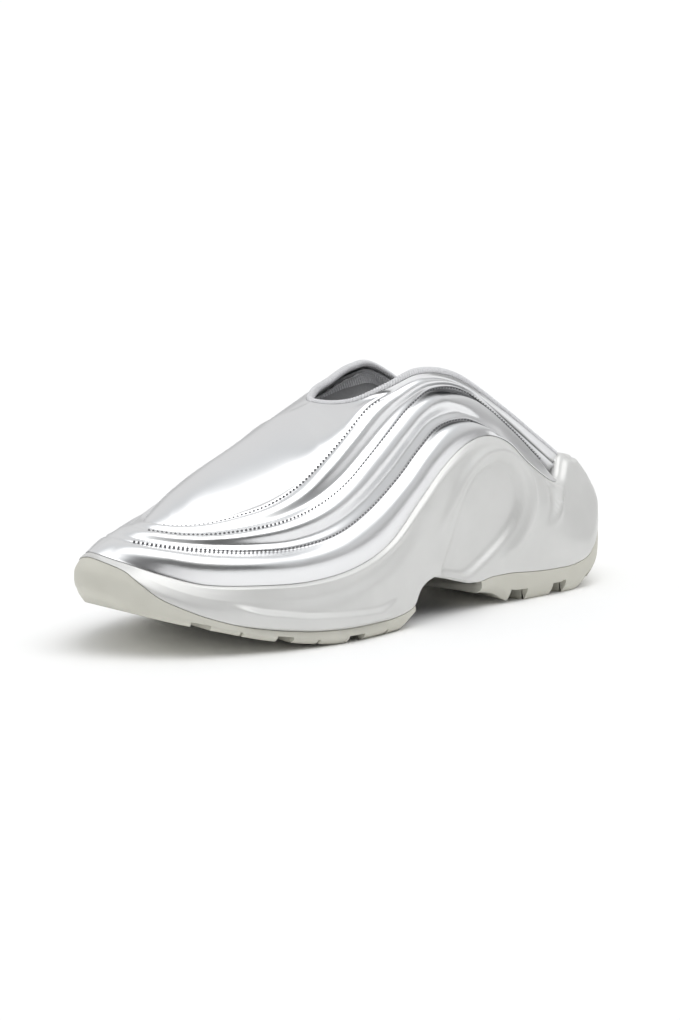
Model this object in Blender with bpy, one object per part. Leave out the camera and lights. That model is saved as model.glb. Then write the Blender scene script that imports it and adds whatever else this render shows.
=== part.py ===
"""Left shoe of a backless sneaker mule: padded metallic upper, painted foam midsole, two rubber treads.

Metres, +Z up. Toe towards -X, heel towards +X, outer side towards -Y. The origin lies on the floor, under
the middle of the shoe. The pieces are lofts along rays. A ray starts at the sole's outline and runs in to the
shoe's middle line, and rays are numbered by stations: 0 is the toe tip, 15 the end of the upper at the heel,
20 the middle of the heel. The same rays serve both sides, and all pieces, so that neighbours meet evenly.
"""

import math

import bmesh
import bpy
import numpy as np

# Driving sizes
LENGTH = 0.300  # toe bumper to heel
WIDTH = 0.110  # across the ball of the foot
HEIGHT = 0.116  # floor to the collar's highest point, on the outer side
SOLE_SHARE = 0.388  # floor to the top of the footbed at the heel, as a share of that
SOLE = SOLE_SHARE * HEIGHT
UPPER_WALL = 0.0018  # upper at a seam
ROLL = 0.0040  # how far a padded roll stands out between its seams
ROLL_LIMIT = 0.2  # the most that a roll stands out, as a share of its width
ROLL_CORNER = 0.75  # how full a roll is: 1 for a sine arch, lower for steeper sides
TOE_ROLL = 0.55  # share of ROLL at the toe tip
TOE_ROLL_END = 4  # station from which the rolls stand out in full
LINING_ROLL = 0.8  # share of ROLL that the upper's inner face follows
VAMP_PULL = 0.45  # how far up the vamp its curve turns, as a share of the way
VAMP_LIFT = 0.1  # how much the curve rises there beside the collar, as a share of the way
BINDING_HEIGHT = 0.0028
BINDING_WIDTH = 0.0034
RIM = 0.0046  # top edge of the midsole, which the upper stands on
SIDE_BULGE = 0.0034  # how far the midsole's side swells
SIDE_LIMIT = 0.12  # the most that it swells, as a share of its height
SIDE_STEP = 0.0009  # soft step along the side, above the rubber
LIP = 0.0036  # rubber that wraps around the midsole's foot
INSOLE_THICK = 0.004
INSOLE_PLAY = 0.0008  # around the insole
TREAD_INSET = 0.0035  # from the outline to the tread's lower edge
TREAD_SWELL = 0.25  # how far the tread's side swells, as a share of that
TOE_LEAN = 0.0048  # how far the bumper's upper edge lies behind the toe tip
TOE_LEAN_END = 3.5  # station where the bumper stands upright
BED_END = 0.84  # where the level faces' rays end at the middle line, as a share of the outline's x
WINDOW_DEPTH = 0.0028  # hollow in the side, above the arch
WINDOW_SLOPE = 0.45  # share of the hollow's half width that its side takes
GAP = 0.0003  # between two pieces that touch

# Stations, in rays
THROAT = 9
UPPER_END = 15
HEEL = 20
RAYS = 3  # rays for each station

# Lines of the upper and the rim below it, a row for each station. Outer side, then inner side: x in
# lengths, y in widths, z in heights
FEATHER = (
    (-0.481, 0.045, 0.403, -0.481, 0.045, 0.403),
    (-0.472, -0.027, 0.390, -0.472, 0.109, 0.390),
    (-0.452, -0.105, 0.365, -0.452, 0.173, 0.365),
    (-0.418, -0.200, 0.326, -0.418, 0.264, 0.326),
    (-0.367, -0.300, 0.284, -0.367, 0.359, 0.284),
    (-0.290, -0.391, 0.267, -0.290, 0.427, 0.267),
    (-0.207, -0.436, 0.259, -0.207, 0.455, 0.259),
    (-0.123, -0.455, 0.284, -0.123, 0.445, 0.284),
    (-0.043, -0.436, 0.353, -0.043, 0.409, 0.345),
    (0.027, -0.409, 0.491, 0.027, 0.386, 0.453),
    (0.087, -0.377, 0.603, 0.087, 0.373, 0.539),
    (0.140, -0.359, 0.677, 0.140, 0.364, 0.599),
    (0.190, -0.345, 0.698, 0.190, 0.359, 0.621),
    (0.240, -0.336, 0.655, 0.240, 0.355, 0.586),
    (0.297, -0.309, 0.543, 0.297, 0.327, 0.509),
    (0.373, -0.255, 0.440, 0.373, 0.255, 0.440),
    (0.409, -0.196, 0.520, 0.409, 0.198, 0.516),
    (0.431, -0.178, 0.506, 0.431, 0.178, 0.506),
    (0.447, -0.145, 0.504, 0.447, 0.145, 0.504),
    (0.457, -0.086, 0.500, 0.457, 0.086, 0.500),
    (0.460, 0.005, 0.496, 0.460, 0.005, 0.496),
)
LOW_SEAM = (
    (-0.437, 0.050, 0.448, -0.437, 0.050, 0.448),
    (-0.432, -0.009, 0.444, -0.432, 0.109, 0.444),
    (-0.415, -0.073, 0.435, -0.415, 0.164, 0.435),
    (-0.387, -0.150, 0.422, -0.387, 0.227, 0.422),
    (-0.345, -0.241, 0.409, -0.345, 0.295, 0.409),
    (-0.290, -0.327, 0.397, -0.290, 0.364, 0.397),
    (-0.217, -0.382, 0.392, -0.217, 0.409, 0.392),
    (-0.143, -0.409, 0.422, -0.143, 0.409, 0.422),
    (-0.073, -0.395, 0.491, -0.070, 0.382, 0.470),
    (-0.003, -0.368, 0.595, 0.000, 0.364, 0.547),
    (0.050, -0.341, 0.690, 0.057, 0.350, 0.616),
    (0.103, -0.314, 0.763, 0.113, 0.341, 0.672),
    (0.167, -0.300, 0.767, 0.177, 0.341, 0.690),
    (0.240, -0.306, 0.700, 0.237, 0.336, 0.634),
    (0.300, -0.289, 0.580, 0.300, 0.314, 0.539),
    (0.377, -0.240, 0.457, 0.377, 0.245, 0.457),
)
MIDDLE_SEAM = (
    (-0.402, 0.050, 0.478, -0.402, 0.050, 0.478),
    (-0.397, -0.005, 0.474, -0.397, 0.100, 0.474),
    (-0.382, -0.064, 0.466, -0.382, 0.145, 0.466),
    (-0.357, -0.132, 0.457, -0.357, 0.205, 0.457),
    (-0.322, -0.209, 0.457, -0.322, 0.264, 0.457),
    (-0.273, -0.282, 0.470, -0.273, 0.323, 0.470),
    (-0.220, -0.332, 0.491, -0.220, 0.364, 0.491),
    (-0.163, -0.355, 0.534, -0.163, 0.373, 0.517),
    (-0.107, -0.359, 0.603, -0.103, 0.364, 0.560),
    (-0.050, -0.345, 0.703, -0.047, 0.350, 0.634),
    (0.000, -0.323, 0.789, 0.010, 0.336, 0.698),
    (0.047, -0.295, 0.858, 0.067, 0.327, 0.759),
    (0.103, -0.277, 0.905, 0.127, 0.327, 0.810),
    (0.177, -0.259, 0.875, 0.193, 0.332, 0.806),
    (0.263, -0.245, 0.733, 0.273, 0.305, 0.685),
    (0.383, -0.205, 0.487, 0.383, 0.218, 0.487),
)
TOP_SEAM = (
    (-0.372, 0.050, 0.487, -0.372, 0.050, 0.487),
    (-0.368, 0.009, 0.483, -0.368, 0.086, 0.483),
    (-0.357, -0.036, 0.478, -0.357, 0.123, 0.478),
    (-0.337, -0.091, 0.478, -0.337, 0.173, 0.478),
    (-0.307, -0.145, 0.487, -0.307, 0.227, 0.487),
    (-0.267, -0.195, 0.509, -0.267, 0.268, 0.509),
    (-0.220, -0.236, 0.543, -0.220, 0.291, 0.534),
    (-0.170, -0.259, 0.603, -0.167, 0.300, 0.582),
    (-0.127, -0.273, 0.685, -0.123, 0.305, 0.647),
    (-0.080, -0.273, 0.776, -0.080, 0.305, 0.711),
    (-0.030, -0.268, 0.871, -0.023, 0.300, 0.776),
    (0.017, -0.273, 0.914, 0.037, 0.286, 0.841),
    (0.083, -0.277, 0.955, 0.103, 0.295, 0.893),
    (0.163, -0.255, 0.905, 0.168, 0.314, 0.884),
    (0.260, -0.236, 0.750, 0.263, 0.277, 0.736),
    (0.393, -0.186, 0.505, 0.393, 0.200, 0.500),
)

# The shoe's middle line seen from above: y in widths at x = 0, and its change with x and with x squared,
# with x in lengths
MIDDLE = (0.049, -0.040, -0.095)

# Middle line of the vamp up to the throat: x in lengths, z in heights
RIDGE = (
    (-0.347, 0.522),
    (-0.337, 0.537),
    (-0.318, 0.565),
    (-0.290, 0.602),
    (-0.253, 0.643),
    (-0.210, 0.688),
    (-0.165, 0.734),
    (-0.120, 0.782),
    (-0.077, 0.827),
    (-0.035, 0.869),
)

# Finished edge of the collar from the throat back. Outer side, then inner side: x in lengths, y in widths,
# z in heights. Last, how steeply the upper falls away from the edge, in degrees
COLLAR = (
    (-0.035, 0.050, 0.869, -0.035, 0.050, 0.869, 24),
    (-0.031, -0.150, 0.893, 0.005, 0.173, 0.888, 40),
    (0.010, -0.255, 0.957, 0.045, 0.218, 0.910, 65),
    (0.073, -0.273, 1.000, 0.105, 0.264, 0.945, 80),
    (0.160, -0.245, 0.953, 0.168, 0.300, 0.930, 80),
    (0.260, -0.227, 0.797, 0.262, 0.268, 0.779, 75),
    (0.403, -0.164, 0.552, 0.403, 0.182, 0.543, 60),
)

# The sole's outline, a row for each station: x in lengths, y outer and y inner in widths
OUTLINE = (
    (-0.500, 0.045, 0.045),
    (-0.493, -0.041, 0.118),
    (-0.472, -0.136, 0.182),
    (-0.436, -0.232, 0.277),
    (-0.376, -0.345, 0.387),
    (-0.293, -0.430, 0.462),
    (-0.207, -0.484, 0.499),
    (-0.123, -0.499, 0.489),
    (-0.043, -0.475, 0.450),
    (0.027, -0.441, 0.400),
    (0.087, -0.409, 0.373),
    (0.140, -0.391, 0.355),
    (0.193, -0.377, 0.345),
    (0.253, -0.373, 0.345),
    (0.323, -0.373, 0.345),
    (0.393, -0.359, 0.336),
    (0.437, -0.327, 0.309),
    (0.468, -0.255, 0.245),
    (0.488, -0.168, 0.168),
    (0.498, -0.086, 0.091),
    (0.500, 0.005, 0.005),
)

# Heights along the shoe: x in lengths, z in soles. The rubber's upper edge and the arch between the treads
RUBBER_TOP = (
    (-0.500, 0.995),
    (-0.487, 0.955),
    (-0.473, 0.900),
    (-0.463, 0.825),
    (-0.450, 0.730),
    (-0.436, 0.640),
    (-0.417, 0.560),
    (-0.377, 0.430),
    (-0.323, 0.311),
    (-0.260, 0.229),
    (-0.197, 0.178),
    (-0.127, 0.156),
    (-0.060, 0.156),
    (-0.020, 0.178),
    (0.007, 0.235),
    (0.020, 0.370),
    (0.040, 0.450),
    (0.060, 0.473),
    (0.090, 0.433),
    (0.123, 0.367),
    (0.163, 0.305),
    (0.200, 0.330),
    (0.230, 0.330),
    (0.270, 0.310),
    (0.317, 0.290),
    (0.363, 0.285),
    (0.407, 0.325),
    (0.433, 0.430),
    (0.457, 0.590),
    (0.475, 0.750),
    (0.488, 0.850),
    (0.500, 0.900),
)

# Underside of the midsole, in the same columns
UNDERSIDE = (
    (-0.500, 0.640),
    (-0.467, 0.590),
    (-0.443, 0.550),
    (-0.417, 0.490),
    (-0.377, 0.395),
    (-0.323, 0.290),
    (-0.260, 0.208),
    (-0.197, 0.158),
    (-0.127, 0.136),
    (-0.060, 0.136),
    (-0.020, 0.156),
    (0.007, 0.205),
    (0.020, 0.345),
    (0.040, 0.430),
    (0.060, 0.453),
    (0.090, 0.413),
    (0.123, 0.347),
    (0.163, 0.285),
    (0.200, 0.300),
    (0.230, 0.300),
    (0.317, 0.262),
    (0.407, 0.275),
    (0.450, 0.310),
    (0.500, 0.400),
)

# Lower face of the rubber, in the same columns: toe spring, forefoot flat, heel flat, raised back
TREAD = (
    (-0.500, 0.640),
    (-0.480, 0.585),
    (-0.458, 0.485),
    (-0.427, 0.400),
    (-0.353, 0.260),
    (-0.287, 0.140),
    (-0.240, 0.080),
    (-0.190, 0.027),
    (-0.150, 0.000),
    (-0.030, 0.000),
    (0.010, 0.130),
    (0.170, 0.170),
    (0.200, 0.140),
    (0.250, 0.000),
    (0.383, 0.000),
    (0.417, 0.080),
    (0.460, 0.220),
    (0.500, 0.420),
)

# Footbed of the midsole, in the same columns, measured at the top of the insole
FOOTBED = (
    (-0.500, 0.900),
    (-0.433, 0.790),
    (-0.333, 0.670),
    (-0.200, 0.620),
    (-0.067, 0.680),
    (0.083, 0.890),
    (0.233, 0.980),
    (0.400, 1.000),
    (0.500, 1.020),
)

# The midsole's side from its rim down to the rubber: share of the way, share of SIDE_BULGE
SIDE = (
    (0.0, 0.0),
    (0.08, 0.45),
    (0.22, 0.85),
    (0.38, 1.0),
    (0.54, 0.95),
    (0.70, 0.80),
    (0.78, 1.05),
    (0.90, 0.6),
)
STEP_SHARE = 0.75  # where the soft step lies on that way

# Where the two treads end at the arch, x in lengths
FORE_END = 0.007
HEEL_START = 0.170

# Grooves across the treads, along the rays: x of the middle at the outline in lengths, width and depth in
# metres
FORE_GROOVES = ((-0.385, 0.0075, 0.0026), (-0.258, 0.0075, 0.0030), (-0.128, 0.0090, 0.0034))
HEEL_GROOVES = ((0.255, 0.0105, 0.0056), (0.343, 0.0085, 0.0060), (0.418, 0.0050, 0.0040))
GROOVE_SIDE = 0.0002  # how far a groove's side leans

# Hollow in the midsole's side: middle x in lengths, middle z in heights, half sizes, lean in degrees
WINDOW = {"x": 0.163, "z": 0.385, "half_length": 0.070, "half_height": 0.235, "lean": 24}


def rows_at(table, at, mirrored_start=False, mirrored_end=False):
    """Smooth curve through a table's rows, at stations counted from its first row."""
    rows = np.array(table, float)
    before = 2 * rows[0] - rows[1]
    after = 2 * rows[-1] - rows[-2]
    if mirrored_start:
        before = rows[1] * (1, -1, 1, 1)[: rows.shape[1]] + rows[0] * (0, 2, 0, 0)[: rows.shape[1]]
    if mirrored_end:
        after = rows[-2] * (1, -1, 1, 1)[: rows.shape[1]] + rows[-1] * (0, 2, 0, 0)[: rows.shape[1]]
    rows = np.vstack([before, rows, after])
    at = np.asarray(at, float)
    low = np.clip(np.floor(at).astype(int), 0, len(table) - 2)
    t = (at - low)[:, None]
    p0, p1, p2, p3 = rows[low], rows[low + 1], rows[low + 2], rows[low + 3]
    bend = 2 * p0 - 5 * p1 + 4 * p2 - p3
    twist = 3 * p1 - p0 - 3 * p2 + p3
    return 0.5 * (2 * p1 + (p2 - p0) * t + bend * t**2 + twist * t**3)


def height_at(table, x, size):
    """Height of a profile at x, with no overshoot between its rows."""
    xs = np.array([row[0] for row in table]) * LENGTH
    zs = np.array([row[1] for row in table]) * size
    steps = np.diff(zs) / np.diff(xs)
    slopes = np.zeros(len(zs))
    same_way = steps[1:] * steps[:-1] > 0
    both = np.where(steps[1:] + steps[:-1] == 0, 1, steps[1:] + steps[:-1])
    slopes[1:-1] = np.where(same_way, 2 * steps[1:] * steps[:-1] / both, 0)
    slopes[0], slopes[-1] = steps[0], steps[-1]
    x = np.clip(x, xs[0], xs[-1])
    low = np.clip(np.searchsorted(xs, x) - 1, 0, len(xs) - 2)
    wide = xs[low + 1] - xs[low]
    t = (x - xs[low]) / wide
    return (
        zs[low] * (1 + 2 * t) * (1 - t) ** 2
        + zs[low + 1] * t**2 * (3 - 2 * t)
        + wide * t * (1 - t) * (slopes[low] * (1 - t) - slopes[low + 1] * t)
    )


def middle_y(x):
    """The shoe's middle line, which curves from the heel's centre to the toe's inner side."""
    share = x / LENGTH
    return (MIDDLE[0] + MIDDLE[1] * share + MIDDLE[2] * share**2) * WIDTH


def line_points(table, stations, side):
    """Points of a line of the upper, in metres. The side is -1 for the outer and 1 for the inner one."""
    first = 0 if side < 0 else 3
    x_y_z = np.array(table, float)[:, first : first + 3]
    return rows_at(x_y_z, stations, True, len(table) == HEEL + 1) * (LENGTH, WIDTH, HEIGHT)


def outline_points(stations, side):
    """Points of the sole's outline, in metres, on the floor."""
    column = 1 if side < 0 else 2
    x_y = np.array(OUTLINE, float)[:, [0, column]]
    flat = rows_at(x_y, stations, True, True) * (LENGTH, WIDTH)
    return np.column_stack([flat, np.zeros(len(flat))])


def unit(vectors):
    """The vectors at a length of one."""
    return vectors / np.maximum(np.linalg.norm(vectors, axis=-1, keepdims=True), 1e-12)


def outward(points, stations, side):
    """Level direction away from the shoe, for points in a row from the toe to the heel."""
    along = np.gradient(points, axis=0)
    across = np.column_stack([along[:, 1], -along[:, 0], np.zeros(len(points))]) * -side
    across[stations == 0] = (-1, 0, 0)
    across[stations == HEEL] = (1, 0, 0)
    return unit(across)


def collar_line(stations, side):
    """The collar's finished edge, the way that the upper falls from it, and the way into its wall."""
    at = np.clip(np.asarray(stations, float) - THROAT, 0, None)
    edge = line_points(COLLAR, at, side)
    step = 1e-3
    ahead = line_points(COLLAR, at + step, side)
    along = ahead - edge
    along[at == 0] = (0, side, 0)
    level = unit(np.column_stack([along[:, 1], -along[:, 0], np.zeros(len(at))]) * -side)
    fall = np.radians(np.interp(at, range(len(COLLAR)), [row[6] for row in COLLAR]))[:, None]
    away = level * np.cos(fall) + np.array([0, 0, -1.0]) * np.sin(fall)
    return edge, away, unit(np.cross(away, along * side))


def top_points(stations, side):
    """Upper end of each ray: the vamp's middle line up to the throat, then the edge under the binding."""
    stations = np.asarray(stations, float)
    ridge = rows_at(RIDGE, np.clip(stations, 0, THROAT)) * (LENGTH, HEIGHT)
    points = np.column_stack([ridge[:, 0], middle_y(ridge[:, 0]), ridge[:, 1]])
    edge, away, _ = collar_line(stations, side)
    shown = stations >= THROAT
    points[shown] = edge[shown]
    near = np.clip(stations - THROAT + 1, 0, 1)[:, None]
    return points + away * BINDING_HEIGHT * near


def roll(start, end, along, shares, stands_out):
    """Points on a padded roll between two seams."""
    reach = end - start
    size = np.linalg.norm(reach, axis=1)
    high = np.minimum(ROLL, ROLL_LIMIT * size) * stands_out
    normal = unit(np.cross(reach, along))
    across = shares[None, :, None]
    shape = np.sin(math.pi * shares) ** ROLL_CORNER
    return start[:, None] + reach[:, None] * across + normal[:, None] * (high[:, None] * shape)[:, :, None]


def upper_side(stations, side, stands_out):
    """One side of the upper's outer face, a row of points for each ray from the sole to the top."""
    feather = line_points(FEATHER, stations, side)
    along = unit(np.gradient(feather, axis=0))
    feather[:, 2] += GAP / np.hypot(along[:, 0], along[:, 1])
    low = line_points(LOW_SEAM, stations, side)
    middle = line_points(MIDDLE_SEAM, stations, side)
    top = line_points(TOP_SEAM, stations, side)
    end = top_points(stations, side)
    shares = np.arange(4) / 4
    columns = []
    stands_out = stands_out * (TOE_ROLL + (1 - TOE_ROLL) * np.clip(stations / TOE_ROLL_END, 0, 1))
    for start, stop in ((feather, low), (low, middle), (middle, top)):
        along = np.gradient(start, axis=0) * side
        along[0] = (0, 1, 0)
        columns.append(roll(start, stop, along, shares, stands_out))
    run = np.gradient(end[:, 0])
    slope = np.gradient(end[:, 2]) / np.where(run == 0, 1, run)
    pull = top + (end - top) * VAMP_PULL
    beside_collar = np.clip(stations - THROAT + 1, 0, 1)
    on_ridge = end[:, 2] + slope * (pull[:, 0] - end[:, 0])
    lifted = pull[:, 2] + VAMP_LIFT * (end[:, 2] - top[:, 2])
    pull[:, 2] = on_ridge * (1 - beside_collar) + lifted * beside_collar
    shares = np.arange(5) / 4
    t = shares[None, :, None]
    columns.append(top[:, None] * (1 - t) ** 2 + 2 * pull[:, None] * t * (1 - t) + end[:, None] * t**2)
    return np.concatenate(columns, axis=1)


def both_sides(make):
    """Rays of the outer side from the heel to the toe, then of the inner side back to the heel."""
    outer = make(-1)
    inner = make(1)
    return np.concatenate([outer[::-1], inner[1:]])


def face_normals(grid):
    """Direction into the shoe at each point of a grid of rays."""
    along = np.gradient(grid, axis=0)
    up = np.gradient(grid, axis=1)
    return unit(np.cross(along, up))


def add_strips(mesh, rows):
    """Faces between each row of points and the next."""
    vertices = [[mesh.verts.new(point) for point in row] for row in rows]
    for here, there in zip(vertices, vertices[1:]):
        for a, b, c, d in zip(here, here[1:], there[1:], there):
            mesh.faces.new((a, b, c, d))


def add_face(mesh, points):
    mesh.faces.new([mesh.verts.new(point) for point in points])


def finish_mesh(mesh, name, colour, roughness, metallic):
    bmesh.ops.remove_doubles(mesh, verts=mesh.verts, dist=2e-6)
    bmesh.ops.dissolve_degenerate(mesh, edges=mesh.edges, dist=1e-6)
    bmesh.ops.recalc_face_normals(mesh, faces=mesh.faces)
    data = bpy.data.meshes.new(name)
    mesh.to_mesh(data)
    mesh.free()
    data.shade_smooth()
    data.set_sharp_from_angle(angle=math.radians(40))
    piece = bpy.data.objects.new(name, data)
    bpy.context.collection.objects.link(piece)
    material = bpy.data.materials.new(name)
    material.use_nodes = True
    shader = material.node_tree.nodes["Principled BSDF"]
    shader.inputs["Base Color"].default_value = (*colour, 1)
    shader.inputs["Roughness"].default_value = roughness
    shader.inputs["Metallic"].default_value = metallic
    data.materials.append(material)
    return piece


def make_upper():
    stations = np.arange(UPPER_END * RAYS + 1) / RAYS
    outer = both_sides(lambda side: upper_side(stations, side, 1.0))
    base = both_sides(lambda side: upper_side(stations, side, LINING_ROLL))
    rays = len(stations)
    normals = face_normals(base)
    inner = base + normals * UPPER_WALL
    shut = THROAT * RAYS
    for ray in range(shut + 1):
        left, right = rays - 1 - ray, rays - 1 + ray
        lining = (inner[left, -1] + inner[right, -1]) / 2
        lining[1] = base[left, -1, 1]
        inner[left, -1] = inner[right, -1] = lining
    into_wall = both_sides(lambda side: collar_line(stations, side)[2])
    around = np.abs(np.arange(len(inner)) - rays + 1) >= shut
    inner[around, -1] = outer[around, -1] + into_wall[around] * UPPER_WALL
    foot = both_sides(lambda side: outward(line_points(FEATHER, stations, side), stations, side))
    inner[:, 0] = outer[:, 0] - foot * UPPER_WALL
    inner = inner[:, ::2]
    mesh = bmesh.new()
    add_strips(mesh, outer)
    add_strips(mesh, inner)
    add_strips(mesh, np.stack([outer[:, 0], inner[:, 0]], axis=1))
    collar = [slice(0, rays - shut), slice(rays - 1 + shut, None)]
    for part in collar:
        add_strips(mesh, np.stack([outer[part, -1], inner[part, -1]], axis=1))
    for end in (0, -1):
        for column in range(inner.shape[1] - 1):
            rim = outer[end, 2 * column : 2 * column + 3]
            add_face(mesh, [*rim, inner[end, column + 1], inner[end, column]])
    return finish_mesh(mesh, "upper", (0.62, 0.63, 0.64), 0.22, 1.0)


def make_binding():
    stations = THROAT + np.arange((UPPER_END - THROAT) * RAYS + 1) / RAYS
    angles = np.arange(8) * math.pi / 4 + math.pi / 8

    def side_rows(side):
        edge, away, across = collar_line(stations, side)
        start = edge + away * (BINDING_HEIGHT - GAP)
        middle = start - away * (BINDING_HEIGHT - GAP) / 2 + across * (UPPER_WALL / 2)
        ring = []
        for angle in angles:
            high = away * math.cos(angle) * (BINDING_HEIGHT - GAP) / 2 / math.cos(math.pi / 8)
            wide = across * math.sin(angle) * BINDING_WIDTH / 2 / math.cos(math.pi / 8)
            ring.append(middle + high + wide)
        return np.stack(ring, axis=1)

    rows = both_sides(side_rows)
    mesh = bmesh.new()
    add_strips(mesh, np.concatenate([rows, rows[:, :1]], axis=1))
    add_face(mesh, rows[0])
    add_face(mesh, rows[-1])
    return finish_mesh(mesh, "collar_binding", (0.75, 0.75, 0.77), 0.8, 0.0)


def window_share(points):
    """How far a point lies in the side's hollow, from 0 outside to 1 on its floor."""
    lean = math.radians(WINDOW["lean"])
    along = (points[..., 0] / LENGTH - WINDOW["x"]) * LENGTH
    up = (points[..., 2] / HEIGHT - WINDOW["z"]) * HEIGHT
    wide = (along * math.cos(lean) - up * math.sin(lean)) / (WINDOW["half_length"] * LENGTH)
    high = (along * math.sin(lean) + up * math.cos(lean)) / (WINDOW["half_height"] * HEIGHT)
    inside = np.clip((1 - np.hypot(wide, high)) / WINDOW_SLOPE, 0, 1)
    return inside * inside * (3 - 2 * inside)


def middle_of(outline):
    """Where a ray's level runs end, on the shoe's middle line."""
    x = outline[:, 0] * BED_END
    return np.column_stack([x, middle_y(x), np.zeros(len(x))])


def level_run(start, end, table, offset):
    """Points half way and all the way from an edge to the middle line, at the height of a profile."""
    run = []
    for share in (0.5, 1.0):
        points = start + (end - start) * share
        points[:, 2] = height_at(table, points[:, 0], SOLE) + offset
        run.append(points)
    return run


def bed_edge(stations, side, play, offset):
    """Edge of the footbed, straight below the rim's inner side."""
    rim = line_points(FEATHER, stations, side)
    points = rim - outward(rim, stations, side) * (RIM + play)
    points[:, 2] = height_at(FOOTBED, points[:, 0], SOLE) + offset
    return points


def toe_lean(stations):
    """How far the bumper's upper edge lies inside the outline."""
    t = np.clip(1 - stations / TOE_LEAN_END, 0, 1)
    return TOE_LEAN * t * t * (3 - 2 * t)


def side_foot(stations, side, inset, table, offset=0.0):
    """The outline moved in by an inset, at the height that a profile has at the outline."""
    outline = outline_points(stations, side)
    points = outline - outward(outline, stations, side) * np.reshape(inset, (-1, 1))
    points[:, 2] = height_at(table, outline[:, 0], SOLE) + offset
    return points


def make_midsole():
    stations = np.arange(HEEL * RAYS + 1) / RAYS

    def side_rows(side):
        outline = outline_points(stations, side)
        rim = line_points(FEATHER, stations, side)
        out = outward(rim, stations, side)
        rim_inside = rim - out * RIM
        lean = toe_lean(stations)
        seat = side_foot(stations, side, lean, RUBBER_TOP)
        seat_inside = side_foot(stations, side, lean + LIP + GAP, RUBBER_TOP)
        foot = side_foot(stations, side, lean + LIP + GAP, UNDERSIDE)
        size = np.linalg.norm(rim - seat, axis=1)
        swell = np.minimum(SIDE_BULGE, SIDE_LIMIT * size)
        beyond = outward(outline, stations, side)
        face = []
        for share, bulge in SIDE:
            point = rim + (seat - rim) * share + out * (swell * bulge)[:, None]
            step = SIDE_STEP * (share < STEP_SHARE)
            past = np.sum((point - outline)[:, :2] * beyond[:, :2], axis=1) + step
            point -= beyond * np.clip(past, 0, None)[:, None]
            face.append(point - out * (WINDOW_DEPTH * window_share(point))[:, None])
        corner = bed_edge(stations, side, 0.0, -INSOLE_THICK - 2 * GAP)
        middle = middle_of(outline)
        under = level_run(foot, middle, UNDERSIDE, 0.0)
        bed = level_run(corner, middle, FOOTBED, -INSOLE_THICK - 2 * GAP)
        return np.stack([*bed[::-1], corner, rim_inside, *face, seat, seat_inside, foot, *under], axis=1)

    mesh = bmesh.new()
    add_strips(mesh, both_sides(side_rows))
    return finish_mesh(mesh, "midsole", (0.70, 0.70, 0.69), 0.4, 0.3)


def station_of(x):
    """The station where the outline reaches a given x."""
    stations = np.linspace(0, HEEL, 2001)
    return float(np.interp(x, outline_points(stations, -1)[:, 0], stations))


def with_grooves(stations, grooves):
    """The stations with those of the grooves' edges added, and how deep the tread is cut at each of them."""
    kept = stations
    edges = []
    for share, width, depth in grooves:
        start, end = (share * LENGTH + half * width / 2 for half in (-1, 1))
        inside = (station_of(start), station_of(end))
        outside = (station_of(start - GROOVE_SIDE), station_of(end + GROOVE_SIDE))
        kept = kept[(kept < outside[0]) | (kept > outside[1])]
        edges += [(outside[0], 0.0), (inside[0], depth), (inside[1], depth), (outside[1], 0.0)]
    rows = sorted([(station, 0.0) for station in kept] + edges)
    return np.array([row[0] for row in rows]), np.array([row[1] for row in rows])


def make_tread(name, plain_stations, grooves):
    stations, cut = with_grooves(plain_stations, grooves)

    def side_rows(side):
        outline = outline_points(stations, side)
        lean = toe_lean(stations)
        top = side_foot(stations, side, lean, RUBBER_TOP, -GAP)
        top_inside = side_foot(stations, side, lean + LIP, RUBBER_TOP, -GAP)
        corner = side_foot(stations, side, lean + LIP, UNDERSIDE, -GAP)
        seat = side_foot(stations, side, lean + LIP + GAP, UNDERSIDE, -GAP)
        lower = side_foot(stations, side, TREAD_INSET, TREAD)
        lower[:, 2] = height_at(TREAD, lower[:, 0], SOLE) + cut
        upright = 1 - lean / TOE_LEAN
        swell = TREAD_INSET * TREAD_SWELL * upright + (lean + TREAD_INSET) / 2 * (1 - upright)
        half_way = (top + lower) / 2 + outward(outline, stations, side) * swell[:, None]
        middle = middle_of(outline)
        bed = level_run(seat, middle, UNDERSIDE, -GAP)
        ground = level_run(lower, middle, TREAD, cut)
        return np.stack([*bed[::-1], seat, corner, top_inside, top, half_way, lower, *ground], axis=1)

    rows = both_sides(side_rows)
    if stations[0] > 0:
        rows = np.concatenate([side_rows(-1), side_rows(1)[::-1][1:]])
    mesh = bmesh.new()
    add_strips(mesh, rows)
    outer_end, inner_end = rows[0], rows[-1]
    add_face(mesh, [*outer_end, *inner_end[-2:0:-1]])
    return finish_mesh(mesh, name, (0.56, 0.55, 0.50), 0.75, 0.0)


def make_insole():
    stations = np.arange(HEEL + 1.0)

    def side_rows(side):
        outline = outline_points(stations, side)
        edge = bed_edge(stations, side, INSOLE_PLAY, 0.0)
        low_edge = edge - (0, 0, INSOLE_THICK)
        middle = middle_of(outline)
        top = level_run(edge, middle, FOOTBED, 0.0)
        low = level_run(low_edge, middle, FOOTBED, -INSOLE_THICK)
        return np.stack([*top[::-1], edge, low_edge, *low], axis=1)

    mesh = bmesh.new()
    add_strips(mesh, both_sides(side_rows))
    return finish_mesh(mesh, "insole", (0.55, 0.55, 0.56), 0.85, 0.0)


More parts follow.
